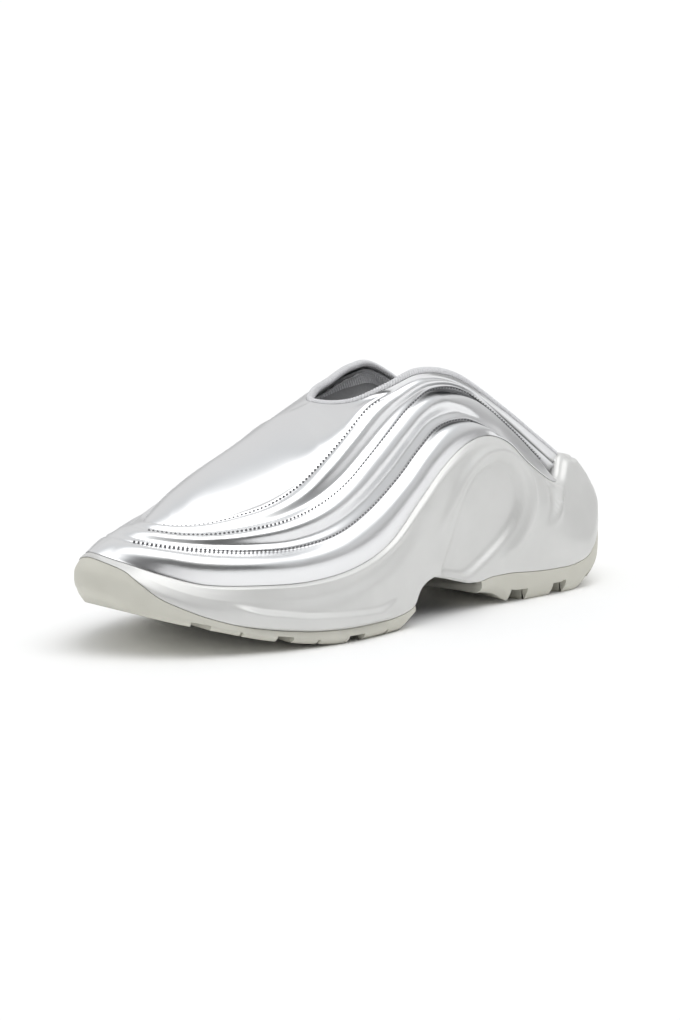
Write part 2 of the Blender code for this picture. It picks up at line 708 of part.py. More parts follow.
def main():
    for thing in list(bpy.data.objects):
        bpy.data.objects.remove(thing)
    make_upper()
    make_binding()
    make_midsole()
    make_insole()
    fore_end = station_of(FORE_END * LENGTH)
    fore = np.linspace(0, fore_end, round(fore_end * RAYS) + 1)
    heel_start = station_of(HEEL_START * LENGTH)
    heel = np.linspace(heel_start, HEEL, round((HEEL - heel_start) * RAYS) + 1)
    make_tread("outsole_forefoot", fore, FORE_GROOVES)
    make_tread("outsole_heel", heel, HEEL_GROOVES)


main()
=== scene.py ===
"""Looks of the left sneaker mule: padded silver upper, painted foam midsole, knit collar, rubber treads.

Metres, +Z up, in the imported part's frame. Toe towards -X, heel towards +X, outer side towards -Y. The lines,
outline and height profiles are those of the part's source, at a finer step. Rays run from the sole's outline
to the shoe's middle line and are numbered by stations, 0 at the toe tip and 20 at the middle of the heel.
"""

import math

import bmesh
import bpy
import numpy as np
from mathutils import Matrix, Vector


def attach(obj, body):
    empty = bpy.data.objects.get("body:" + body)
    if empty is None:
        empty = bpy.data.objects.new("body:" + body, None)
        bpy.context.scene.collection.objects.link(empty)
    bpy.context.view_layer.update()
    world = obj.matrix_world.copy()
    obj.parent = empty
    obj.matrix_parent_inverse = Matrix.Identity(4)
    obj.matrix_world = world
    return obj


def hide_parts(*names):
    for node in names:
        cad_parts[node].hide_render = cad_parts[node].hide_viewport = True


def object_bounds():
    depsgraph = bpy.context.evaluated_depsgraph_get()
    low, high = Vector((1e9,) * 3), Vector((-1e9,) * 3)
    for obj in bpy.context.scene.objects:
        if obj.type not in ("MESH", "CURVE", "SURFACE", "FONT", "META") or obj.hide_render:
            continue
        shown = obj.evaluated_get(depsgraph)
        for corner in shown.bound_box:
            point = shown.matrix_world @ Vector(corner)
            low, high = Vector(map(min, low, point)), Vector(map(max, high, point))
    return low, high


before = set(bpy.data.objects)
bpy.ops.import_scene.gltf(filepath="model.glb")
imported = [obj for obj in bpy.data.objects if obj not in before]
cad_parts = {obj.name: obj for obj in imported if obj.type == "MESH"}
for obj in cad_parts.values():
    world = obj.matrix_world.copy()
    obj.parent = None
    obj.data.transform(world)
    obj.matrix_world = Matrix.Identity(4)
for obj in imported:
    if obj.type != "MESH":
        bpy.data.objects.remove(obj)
cad_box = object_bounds()

# Sizes
LENGTH = 0.300
WIDTH = 0.110
HEIGHT = 0.116
SOLE_SHARE = 0.388
SOLE = SOLE_SHARE * HEIGHT
ROLL = 0.0046
TOE_ROLL = 0.12
TOE_ROLL_END = 4
WALL = 0.0026
VAMP_PULL = 0.45
VAMP_LIFT = 0.1
BINDING_HEIGHT = 0.0030
BINDING_WIDTH = 0.0036
RIM = 0.0046
SIDE_BULGE = 0.0034
SIDE_LIMIT = 0.12
LIP = 0.0036
INSOLE_THICK = 0.004
INSOLE_PLAY = 0.0008
TREAD_INSET = 0.0035
TOE_LEAN = 0.0048
TOE_LEAN_END = 3.5
BED_END = 0.84
GAP = 0.0003
MM = 0.001
OUTLINE_SOFTNESS = 0.8 * MM
RIM_BUMP = 0.5 * MM  # how far the midsole's upper edge is rounded, and how far at the heel's lip
LIP_BUMP = 1.5 * MM
LIP_START = (14.4, 1.2)  # station where the lip starts, and over how many it grows
UNDER_STEPS = 8  # columns across each half of the midsole's underside

# Stations
THROAT = 9
UPPER_END = 15
HEEL = 20

# The shares in the tables from here to FOOTBED are in thousandths of the sizes above
THOUSANDTHS = 1000

# Lines of the upper and the rim below it, a row for each station. Outer side, then inner side: x in
# lengths, y in widths, z in heights
FEATHER = (
    (-481, 45, 403, -481, 45, 403),
    (-472, -27, 390, -472, 109, 390),
    (-452, -105, 365, -452, 173, 365),
    (-418, -200, 326, -418, 264, 326),
    (-367, -300, 284, -367, 359, 284),
    (-290, -391, 267, -290, 427, 267),
    (-207, -436, 259, -207, 455, 259),
    (-123, -455, 284, -123, 445, 284),
    (-43, -436, 353, -43, 409, 345),
    (27, -409, 491, 27, 386, 453),
    (87, -377, 603, 87, 373, 539),
    (140, -359, 677, 140, 364, 599),
    (190, -345, 698, 190, 359, 621),
    (240, -336, 655, 240, 355, 586),
    (297, -309, 543, 297, 327, 509),
    (373, -255, 440, 373, 255, 440),
    (409, -196, 520, 409, 198, 516),
    (431, -178, 506, 431, 178, 506),
    (447, -145, 504, 447, 145, 504),
    (457, -86, 500, 457, 86, 500),
    (460, 5, 496, 460, 5, 496),
)
LOW_SEAM = (
    (-437, 50, 448, -437, 50, 448),
    (-432, -9, 444, -432, 109, 444),
    (-415, -73, 435, -415, 164, 435),
    (-387, -150, 422, -387, 227, 422),
    (-345, -241, 409, -345, 295, 409),
    (-290, -327, 397, -290, 364, 397),
    (-217, -382, 392, -217, 409, 392),
    (-143, -409, 422, -143, 409, 422),
    (-73, -395, 491, -70, 382, 470),
    (-3, -368, 595, 0, 364, 547),
    (50, -341, 690, 57, 350, 616),
    (103, -314, 763, 113, 341, 672),
    (167, -300, 767, 177, 341, 690),
    (240, -306, 700, 237, 336, 634),
    (300, -289, 580, 300, 314, 539),
    (377, -240, 457, 377, 245, 457),
)
MIDDLE_SEAM = (
    (-402, 50, 478, -402, 50, 478),
    (-397, -5, 474, -397, 100, 474),
    (-382, -64, 466, -382, 145, 466),
    (-357, -132, 457, -357, 205, 457),
    (-322, -209, 457, -322, 264, 457),
    (-273, -282, 470, -273, 323, 470),
    (-220, -332, 491, -220, 364, 491),
    (-163, -355, 534, -163, 373, 517),
    (-107, -359, 603, -103, 364, 560),
    (-50, -345, 703, -47, 350, 634),
    (0, -323, 789, 10, 336, 698),
    (47, -295, 858, 67, 327, 759),
    (103, -277, 905, 127, 327, 810),
    (177, -259, 875, 193, 332, 806),
    (263, -245, 733, 273, 305, 685),
    (383, -205, 487, 383, 218, 487),
)
TOP_SEAM = (
    (-372, 50, 487, -372, 50, 487),
    (-368, 9, 483, -368, 86, 483),
    (-357, -36, 478, -357, 123, 478),
    (-337, -91, 478, -337, 173, 478),
    (-307, -145, 487, -307, 227, 487),
    (-267, -195, 509, -267, 268, 509),
    (-220, -236, 543, -220, 291, 534),
    (-170, -259, 603, -167, 300, 582),
    (-127, -273, 685, -123, 305, 647),
    (-80, -273, 776, -80, 305, 711),
    (-30, -268, 871, -23, 300, 776),
    (17, -273, 914, 37, 286, 841),
    (83, -277, 955, 103, 295, 893),
    (163, -255, 905, 168, 314, 884),
    (260, -236, 750, 263, 277, 736),
    (393, -186, 505, 393, 200, 500),
)

# The shoe's middle line seen from above: y in widths at x = 0, and its change with x and with x squared
MIDDLE = (0.049, -0.040, -0.095)

# Middle line of the vamp up to the throat: x in lengths, z in heights
RIDGE = (
    (-347, 522), (-337, 537), (-318, 565), (-290, 602), (-253, 643), (-210, 688), (-165, 734),
    (-120, 782), (-77, 827), (-35, 869),
)

# Finished edge of the collar from the throat back, in the columns of the seams. Last, how steeply the upper
# falls away from the edge, in degrees
COLLAR = (
    (-35, 50, 869, -35, 50, 869, 24),
    (-31, -150, 893, 5, 173, 888, 40),
    (10, -255, 957, 45, 218, 910, 65),
    (73, -273, 1000, 105, 264, 945, 80),
    (160, -245, 953, 168, 300, 930, 80),
    (260, -227, 797, 262, 268, 779, 75),
    (403, -164, 552, 403, 182, 543, 60),
)

# The sole's outline, a row for each station: x in lengths, y outer and y inner in widths
OUTLINE = (
    (-500, 45, 45), (-493, -41, 118), (-472, -136, 182), (-436, -232, 277),
    (-376, -345, 387), (-293, -430, 462), (-207, -484, 499), (-123, -499, 489),
    (-43, -475, 450), (27, -441, 400), (87, -409, 373), (140, -391, 355),
    (193, -377, 345), (253, -373, 345), (323, -373, 345), (393, -359, 336),
    (437, -327, 309), (468, -255, 245), (488, -168, 168), (498, -86, 91),
    (500, 5, 5),
)

# Heights along the shoe: x in lengths, z in soles. The rubber's upper edge and the arch between the treads
RUBBER_TOP = (
    (-500, 995), (-487, 955), (-473, 900), (-463, 825), (-450, 730), (-436, 640), (-417, 560),
    (-377, 430), (-323, 311), (-260, 229), (-197, 178), (-127, 156), (-60, 156), (-20, 178),
    (7, 235), (20, 370), (40, 450), (60, 473), (90, 433), (123, 367), (163, 305),
    (200, 330), (230, 330), (270, 310), (317, 290), (363, 285), (407, 325), (433, 430),
    (457, 590), (475, 750), (488, 850), (500, 900),
)

# Underside of the midsole, in the same columns
UNDERSIDE = (
    (-500, 640), (-467, 590), (-443, 550), (-417, 490), (-377, 395), (-323, 290), (-260, 208),
    (-197, 158), (-127, 136), (-60, 136), (-20, 156), (7, 205), (20, 345), (40, 430),
    (60, 453), (90, 413), (123, 347), (163, 285), (200, 300), (230, 300), (317, 262),
    (407, 275), (450, 310), (500, 400),
)

# Lower face of the rubber, in the same columns
TREAD = (
    (-500, 640), (-480, 585), (-458, 485), (-427, 400), (-353, 260), (-287, 140), (-240, 80),
    (-190, 27), (-150, 0), (-30, 0), (10, 130), (170, 170), (200, 140), (250, 0),
    (383, 0), (417, 80), (460, 220), (500, 420),
)

# Top of the insole, in the same columns
FOOTBED = (
    (-500, 900), (-433, 790), (-333, 670), (-200, 620), (-67, 680), (83, 890), (233, 980),
    (400, 1000), (500, 1020),
)

# The midsole's side from its rim down to the rubber: share of the way, share of SIDE_BULGE
SIDE = (
    (0, 0), (0.01, 0.12), (0.045, 0.58), (0.065, 0.66), (0.12, 0.72),
    (0.22, 0.84), (0.38, 1), (0.54, 0.98), (0.7, 0.95), (0.85, 0.85),
    (0.96, 0.6), (1, 0),
)

FORE_END = 0.007
HEEL_START = 0.170


def rows_at(table, at, mirrored_start=False, mirrored_end=False):
    """Smooth curve through a table's rows, at stations counted from its first row."""
    rows = np.array(table, float)
    before = 2 * rows[0] - rows[1]
    after = 2 * rows[-1] - rows[-2]
    flip = np.array((1, -1, 1))[: rows.shape[1]]
    if mirrored_start:
        before = rows[1] * flip + rows[0] * (1 - flip)
    if mirrored_end:
        after = rows[-2] * flip + rows[-1] * (1 - flip)
    rows = np.vstack([before, rows, after])
    at = np.asarray(at, float)
    low = np.clip(np.floor(at).astype(int), 0, len(table) - 2)
    t = (at - low)[:, None]
    p0, p1, p2, p3 = rows[low], rows[low + 1], rows[low + 2], rows[low + 3]
    bend = 2 * p0 - 5 * p1 + 4 * p2 - p3
    twist = 3 * p1 - p0 - 3 * p2 + p3
    return 0.5 * (2 * p1 + (p2 - p0) * t + bend * t**2 + twist * t**3)


def height_at(table, x, size):
    """Height of a profile at x, with no overshoot between its rows."""
    xs, zs = np.array(table).T / THOUSANDTHS
    xs, zs = xs * LENGTH, zs * size
    steps = np.diff(zs) / np.diff(xs)
    slopes = np.zeros(len(zs))
    same_way = steps[1:] * steps[:-1] > 0
    both = np.where(steps[1:] + steps[:-1] == 0, 1, steps[1:] + steps[:-1])
    slopes[1:-1] = np.where(same_way, 2 * steps[1:] * steps[:-1] / both, 0)
    slopes[0], slopes[-1] = steps[0], steps[-1]
    x = np.clip(x, xs[0], xs[-1])
    low = np.clip(np.searchsorted(xs, x) - 1, 0, len(xs) - 2)
    wide = xs[low + 1] - xs[low]
    t = (x - xs[low]) / wide
    return (
        zs[low] * (1 + 2 * t) * (1 - t) ** 2
        + zs[low + 1] * t**2 * (3 - 2 * t)
        + wide * t * (1 - t) * (slopes[low] * (1 - t) - slopes[low + 1] * t)
    )


def middle_y(x):
    """The shoe's middle line, which curves from the heel's centre to the toe's inner side."""
    share = x / LENGTH
    return (MIDDLE[0] + MIDDLE[1] * share + MIDDLE[2] * share**2) * WIDTH


def line_points(table, stations, side):
    """Points of a line of the upper, in metres. The side is -1 for the outer and 1 for the inner one."""
    first = 0 if side < 0 else 3
    x_y_z = np.array(table)[:, first : first + 3] / THOUSANDTHS
    return rows_at(x_y_z, stations, True, len(table) == HEEL + 1) * (LENGTH, WIDTH, HEIGHT)


def outline_points(stations, side):
    """Points of the sole's outline, in metres, on the floor."""
    column = 1 if side < 0 else 2
    x_y = np.array(OUTLINE)[:, [0, column]] / THOUSANDTHS
    flat = rows_at(x_y, stations, True, True) * (LENGTH, WIDTH)
    return np.column_stack([flat, np.zeros(len(flat))])


def unit(vectors):
    """The vectors at a length of one."""
    return vectors / np.maximum(np.linalg.norm(vectors, axis=-1, keepdims=True), 1e-12)


def smooth(t):
    """Soft step from 0 to 1."""
    t = np.clip(t, 0, 1)
    return t * t * (3 - 2 * t)


def soft_start(stations, row):
    """Soft step from 0 to 1, from a station on and over a number of them."""
    start, over = row
    return smooth((stations - start) / over)


def outward(points, stations, side):
    """Level direction away from the shoe, for points in a row from the toe to the heel."""
    along = np.gradient(points, axis=0)
    across = np.column_stack([along[:, 1], -along[:, 0], np.zeros(len(points))]) * -side
    across[stations == 0] = (-1, 0, 0)
    across[stations == HEEL] = (1, 0, 0)
    return unit(across)


def collar_line(stations, side):
    """The collar's finished edge, the way that the upper falls from it, and the way into its wall."""
    at = np.clip(np.asarray(stations, float) - THROAT, 0, None)
    edge = line_points(COLLAR, at, side)
    step = 1e-3
    ahead = line_points(COLLAR, at + step, side)
    along = ahead - edge
    along[at == 0] = (0, side, 0)
    level = unit(np.column_stack([along[:, 1], -along[:, 0], np.zeros(len(at))]) * -side)
    fall = np.radians(np.interp(at, range(len(COLLAR)), [row[6] for row in COLLAR]))[:, None]
    away = level * np.cos(fall) + np.array([0, 0, -1.0]) * np.sin(fall)
    return edge, away, unit(np.cross(away, along * side))


def top_points(stations, side):
    """Upper end of each ray: the vamp's middle line up to the throat, then the edge under the binding."""
    stations = np.asarray(stations, float)
    ridge = rows_at(np.array(RIDGE) / THOUSANDTHS, np.clip(stations, 0, THROAT)) * (LENGTH, HEIGHT)
    points = np.column_stack([ridge[:, 0], middle_y(ridge[:, 0]), ridge[:, 1]])
    edge, away, _ = collar_line(stations, side)
    shown = stations >= THROAT
    points[shown] = edge[shown]
    near = np.clip(stations - THROAT + 1, 0, 1)[:, None]
    return points + away * BINDING_HEIGHT * near


def both_sides(make):
    """Rays of the outer side from the heel to the toe, then of the inner side back to the heel."""
    outer = make(-1)
    inner = make(1)
    return np.concatenate([outer[::-1], inner[1:]])


def grid_faces(rows, columns, wrap=False):
    """Quads of a grid of points, in rows."""
    a = np.arange(rows - 1)[:, None] * columns + np.arange(columns if wrap else columns - 1)[None, :]
    b = np.where(wrap & (a % columns == columns - 1), a - columns + 1, a + 1)
    return np.stack([a, b, b + columns, a + columns], axis=-1).reshape(-1, 4)


def add_piece(name, points, faces, material, merge=2e-6):
    """A mesh object riding on the shoe's body. With merge at 0 its points and faces stay as given."""
    mesh = bpy.data.meshes.new(name)
    mesh.from_pydata(np.asarray(points).reshape(-1, 3).tolist(), [], [list(map(int, f)) for f in faces])
    piece = bpy.data.objects.new(name, mesh)
    bpy.context.collection.objects.link(piece)
    if merge:
        work = bmesh.new()
        work.from_mesh(mesh)
        bmesh.ops.remove_doubles(work, verts=work.verts, dist=merge)
        bmesh.ops.recalc_face_normals(work, faces=work.faces)
        work.to_mesh(mesh)
        work.free()
    mesh.shade_smooth()
    mesh.materials.append(material)
    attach(piece, "root")
    return piece


def sharpen(piece, degrees):
    piece.data.set_sharp_from_angle(angle=math.radians(degrees))


# Materials


def new_material(name, colour, roughness, metallic=0.0):
    material = bpy.data.materials.new(name)
    material.use_nodes = True
    shader = material.node_tree.nodes["Principled BSDF"]
    shader.inputs["Base Color"].default_value = (*colour, 1)
    shader.inputs["Roughness"].default_value = roughness
    shader.inputs["Metallic"].default_value = metallic
    return material, shader


def add_node(material, kind, inputs=None, **settings):
    node = material.node_tree.nodes.new(kind)
    for key, value in settings.items():
        setattr(node, key, value)
    for key, value in (inputs or {}).items():
        node.inputs[key].default_value = value
    return node


def connect(material, start, end):
    material.node_tree.links.new(start, end)


def add_noise(material, scale, detail):
    place = add_node(material, "ShaderNodeTexCoord")
    noise = add_node(material, "ShaderNodeTexNoise", {"Scale": scale, "Detail": detail})
    connect(material, place.outputs["Object"], noise.inputs["Vector"])
    return noise


def add_bump(material, shader, source, strength, distance, before=None):
    bump = add_node(material, "ShaderNodeBump", {"Strength": strength, "Distance": distance})
    connect(material, source, bump.inputs["Height"])
    if before is not None:
        connect(material, before.outputs["Normal"], bump.inputs["Normal"])
    connect(material, bump.outputs["Normal"], shader.inputs["Normal"])
    return bump


def vary_roughness(material, shader, source, low, high):
    spread = add_node(material, "ShaderNodeMapRange", {"To Min": low, "To Max": high})
    connect(material, source, spread.inputs["Value"])
    connect(material, spread.outputs["Result"], shader.inputs["Roughness"])


def vary_colour(material, shader, source, dark, light, low=0.3, high=0.7):
    ramp = add_node(material, "ShaderNodeValToRGB")
    ramp.color_ramp.elements[0].position = low
    ramp.color_ramp.elements[0].color = (*dark, 1)
    ramp.color_ramp.elements[1].position = high
    ramp.color_ramp.elements[1].color = (*light, 1)
    connect(material, source, ramp.inputs["Fac"])
    connect(material, ramp.outputs["Color"], shader.inputs["Base Color"])


def silver_material():
    """Satin metallic coating with cloudy gloss, a fine grain and slight wrinkles, with painted shade darkening
    the grooves.
    """
    material, shader = new_material("silver_coated_cloth", (0.87, 0.873, 0.88), 0.32, 1.0)
    broad = add_noise(material, 60, 2)
    fine = add_noise(material, 2600, 2)
    first = add_bump(material, shader, broad.outputs["Fac"], 0.04, 0.0005)
    add_bump(material, shader, fine.outputs["Fac"], 0.06, 0.00008, first)
    vary_roughness(material, shader, broad.outputs["Fac"], 0.29, 0.36)
    # Painted shade: the base colour runs from silver to near-black with the 'shade' attribute, darkest in the
    # seam grooves
    shade = add_node(material, "ShaderNodeAttribute", attribute_name="shade")
    vary_colour(material, shader, shade.outputs["Fac"], (0.87, 0.873, 0.88), (0.05, 0.052, 0.056), 0.0, 1.0)
    return material


def foam_material():
    material, shader = new_material("painted_foam", (0.75, 0.75, 0.735), 0.42, 0.30)
    broad = add_noise(material, 45, 3)
    fine = add_noise(material, 1800, 3)
    vary_colour(material, shader, broad.outputs["Fac"], (0.72, 0.72, 0.705), (0.77, 0.77, 0.755))
    add_bump(material, shader, fine.outputs["Fac"], 0.10, 0.00012)
    vary_roughness(material, shader, broad.outputs["Fac"], 0.38, 0.47)
    shader.inputs["Coat Weight"].default_value = 0.25
    shader.inputs["Coat Roughness"].default_value = 0.35
    return material


def rubber_material():
    material, shader = new_material("tread_rubber", (0.66, 0.65, 0.58), 0.6)
    broad = add_noise(material, 50, 3)
    fine = add_noise(material, 1500, 2)
    vary_colour(material, shader, broad.outputs["Fac"], (0.63, 0.62, 0.55), (0.68, 0.67, 0.60))
    add_bump(material, shader, fine.outputs["Fac"], 0.12, 0.00012)
    vary_roughness(material, shader, broad.outputs["Fac"], 0.52, 0.68)
    return material


def knit_material(name, colour, dark):
    material, shader = new_material(name, colour, 0.85)
    yarn = add_noise(material, 1400, 3)
    vary_colour(material, shader, yarn.outputs["Fac"], dark, colour)
    add_bump(material, shader, yarn.outputs["Fac"], 0.35, 0.0002)
    shader.inputs["Sheen Weight"].default_value = 0.25
    shader.inputs["Sheen Roughness"].default_value = 0.5
    return material


def painted_shade_foam_material():
    """Foam of the underside, between the treads, coloured near-black as painted shade under the arch."""
    material, shader = new_material("underside_painted_shade", (0.06, 0.06, 0.058), 0.8)
    fine = add_noise(material, 1200, 3)
    vary_colour(material, shader, fine.outputs["Fac"], (0.045, 0.045, 0.043), (0.08, 0.08, 0.077))
    add_bump(material, shader, fine.outputs["Fac"], 0.2, 0.0002)
    return material


SILVER = silver_material()
UNDERSIDE_PAINTED_SHADE = painted_shade_foam_material()
FOAM = foam_material()
RUBBER = rubber_material()
KNIT = knit_material("grey_knit", (0.80, 0.80, 0.815), (0.66, 0.66, 0.675))
LINING = knit_material("grey_lining", (0.42, 0.42, 0.43), (0.33, 0.33, 0.34))
THREAD, _ = new_material("grey_thread", (0.20, 0.20, 0.21), 0.7)


# Upper

STEPS = 12  # rays for each station
VAMP_CROWN = 1.9 * MM  # how far the padded vamp stands up beside the top seam
INNER_CROWN = 0.3  # share of that on the inner side
CROWN_START = (3, 3)  # station where it starts, and over how many it grows
CROWN_END = (9.0, 2.5)  # the same where it ends
CROWN_POWER = 5  # how close to the seam the crown lies
CROWN_SCALE = (CROWN_POWER + 1) ** (CROWN_POWER + 1) / CROWN_POWER**CROWN_POWER  # for a height of one
LOW_SEAM_OUT = (11.9, 0.9)  # where the low seam runs out, likewise
MIDDLE_ROLL_OUT = (11.3, 1.4)  # the same for the roll above the low seam
MIDDLE_ROLL_LOSS = 0.8  # share of its height that this roll loses there
END_CURL = 2.0 * MM  # radius of the upper's rear ends
CURL_ANGLES = (22, 45, 68, 90, 112)  # degrees
COLUMNS = (26, 30, 30, 28)  # points across each panel

# Height of a padded panel over its width, from its lower seam to its upper one: share of the way, share of
# its height. The low panel is one broad roll with a valley under its upper seam. The two above it have a
# hollow ledge beside their lower seam and a roll above it
LOW_PANEL = (
    (0, 0), (0.05, 0.17), (0.3, 0.78), (0.42, 0.95), (0.53, 1),
    (0.66, 0.92), (0.78, 0.64), (0.87, 0.24), (0.93, 0.02), (1, 0),
)
LEDGE_PANEL = (
    (0, 0), (0.12, -0.1), (0.28, -0.24), (0.42, 0.12), (0.55, 0.48),
    (0.7, 0.6), (0.86, 0.4), (1, 0),
)
# Height of the low panel's roll in millimetres, by station
LOW_ROLL = (
    (0, 0.8), (1, 1.6), (2, 3.2), (3, 4.6), (4, 4.7),
    (6, 3.7), (8, 3.0), (10, 2.6), (12, 1.6), (15, 1.2),
)
INNER_TOE = 0.25  # share of the rolls' height that the inner side has at the toe
SOFTENING = 0.04  # how far the corners of those are rounded off, as a share of the width


def panel_shares(columns):
    """Shares across a panel, closer together at its two seams."""
    t = np.linspace(0, 1, columns, endpoint=False)
    return 0.55 * t + 0.45 * (1 - np.cos(math.pi * t)) / 2


def soft_profile(rows, shares):
    """Heights of a profile at the shares, with its corners rounded off and its ends at nothing."""
    reach = 4 * SOFTENING
    at = np.arange(-reach, 1 + reach, 0.001)
    plain = np.interp(at, *np.array(rows).T)
    bell = np.exp(-((np.arange(-reach, reach, 0.001) / SOFTENING) ** 2) / 2)
    soft = np.convolve(plain, bell / bell.sum(), "same")
    ends = np.interp((0, 1), at, soft)
    return np.interp(shares, at, soft) - ends[0] * (1 - shares) - ends[1] * shares


def panel(start, stop, along, shares, shape, high):
    reach = stop - start
    normal = unit(np.cross(reach, along))
    across = shares[None, :, None]
    lift = high[:, None] * soft_profile(shape, shares)[None, :]
    return start[:, None] + reach[:, None] * across + normal[:, None] * lift[:, :, None]


def seam_lines(stations, side):
    """Feather, the three seams and the top end of each ray, the low seam running out at the heel's arch."""
    feather = line_points(FEATHER, stations, side)
    low = line_points(LOW_SEAM, stations, side)
    out = soft_start(stations, LOW_SEAM_OUT)[:, None]
    low = low + (feather + (0, 0, 0.6 * MM) - low) * out * 0.9
    middle = line_points(MIDDLE_SEAM, stations, side)
    top = line_points(TOP_SEAM, stations, side)
    return feather, low, middle, top, top_points(stations, side)


def upper_side(stations, side, stands_out):
    """One side of the upper's outer face, a row of points for each ray from the sole to the top."""
    feather, low, middle, top, end = seam_lines(stations, side)
    along = unit(np.gradient(feather, axis=0))
    feather[:, 2] += GAP / np.hypot(along[:, 0], along[:, 1])
    rise = TOE_ROLL + (1 - TOE_ROLL) * np.clip(stations / TOE_ROLL_END, 0, 1)
    low_roll = np.interp(stations, *np.array(LOW_ROLL).T) * MM
    if side > 0:
        inner_toe = INNER_TOE + (1 - INNER_TOE) * smooth((stations - 2) / 5)
        rise, low_roll = rise * inner_toe, low_roll * inner_toe
    parts = []
    panels = (
        (feather, low, LOW_PANEL, 0.30),
        (low, middle, LEDGE_PANEL, 0.24),
        (middle, top, LEDGE_PANEL, 0.24),
    )
    for (start, stop, shape, limit), count in zip(panels, COLUMNS):
        along = np.gradient(start, axis=0) * side
        along[stations == 0] = (0, 1, 0)
        size = np.linalg.norm(stop - start, axis=1)
        high = np.minimum(ROLL * rise, limit * size) * stands_out
        if stop is middle:
            high = high * (1 - MIDDLE_ROLL_LOSS * soft_start(stations, MIDDLE_ROLL_OUT))
        if shape is LOW_PANEL:
            high = np.minimum(low_roll, limit * size) * stands_out
        parts.append(panel(start, stop, along, panel_shares(count), shape, high))
    run = np.gradient(end[:, 0])
    slope = np.gradient(end[:, 2]) / np.where(run == 0, 1, run)
    pull = top + (end - top) * VAMP_PULL
    beside_collar = np.clip(stations - THROAT + 1, 0, 1)
    on_ridge = end[:, 2] + slope * (pull[:, 0] - end[:, 0])
    lifted = pull[:, 2] + VAMP_LIFT * (end[:, 2] - top[:, 2])
    pull[:, 2] = on_ridge * (1 - beside_collar) + lifted * beside_collar
    shares = np.linspace(0, 1, COLUMNS[3]) ** 1.25
    t = shares[None, :, None]
    vamp = top[:, None] * (1 - t) ** 2 + 2 * pull[:, None] * t * (1 - t) + end[:, None] * t**2
    crowned = soft_start(stations, CROWN_START) * (1 - soft_start(stations, CROWN_END))
    crown = (VAMP_CROWN if side < 0 else INNER_CROWN * VAMP_CROWN) * (stands_out > 0)
    vamp[:, :, 2] += crown * crowned[:, None] * (CROWN_SCALE * shares * (1 - shares) ** CROWN_POWER)
    parts.append(vamp)
    return np.concatenate(parts, axis=1)


def grid_normals(grid):
    along = np.gradient(grid, axis=0)
    up = np.gradient(grid, axis=1)
    return unit(np.cross(along, up))


# Grooves along the seams, low, middle and top. Depth, half width and how far below the seam they lie, in
# millimetres, and how much painted shade darkens them. Then the same where the sole arches, and the stations
# between which they change and end
SEAM_GROOVES = (
    (0.45, 0.9, 0.6, 0.10, 1.3, 1.3, 0.9, 0.75, 9.5, 11.2, 12.2),
    (0.25, 0.9, 0.4, 0.05, 2.8, 2.6, 2.2, 0.98, 10.7, 12.3, 15.4),
    (0.20, 0.8, 0.2, 0.05, 0.6, 0.9, 0.5, 0.80, 12.6, 14.2, 15.4),
)


def cut_seams(outer, inward, at):
    """The upper's outer face with a soft groove along each seam, and the painted shade darkening each point of
    it.
    """
    shade = np.zeros(outer.shape[:2])
    for cut, row in zip(np.cumsum(COLUMNS)[:3], SEAM_GROOVES):
        row = np.array(row)
        usual, arched, (start, full, end) = row[:4, None], row[4:8, None], row[8:]
        near_arch = smooth((at - start) / (full - start))
        fade = (0.4 + 0.6 * smooth(at / 3)) * (1 - smooth((at - end) / 0.5))
        deep, wide, below, dark = usual + (arched - usual) * near_arch
        deep, wide, below, dark = deep * fade * MM, wide * MM, below * MM, dark * fade
        away = np.linalg.norm(outer - outer[:, cut : cut + 1], axis=2)
        away[:, cut:] *= -1
        bell = np.exp(-(((away - below[:, None]) / wide[:, None]) ** 2))
        outer = outer + inward * (deep[:, None] * bell)[:, :, None]
        # Painted shade along each groove's middle, the darkest of the three seams kept at each point
        shade = np.maximum(shade, dark[:, None] * bell)
    return outer, shade


def rounded_ends(outer, inward):
    """The grid with more rays at both ends, where the padding curls round to the inside."""
    caps = []
    for end, beside in ((0, 1), (-1, -2)):
        along = unit(outer[end] - outer[beside])
        cap = []
        for angle in np.radians(CURL_ANGLES):
            turned = along * math.sin(angle) + inward[end] * (1 - math.cos(angle))
            cap.append(outer[end] + turned * END_CURL)
        caps.append(np.array(cap))
    return np.concatenate([caps[0][::-1], outer, caps[1]])


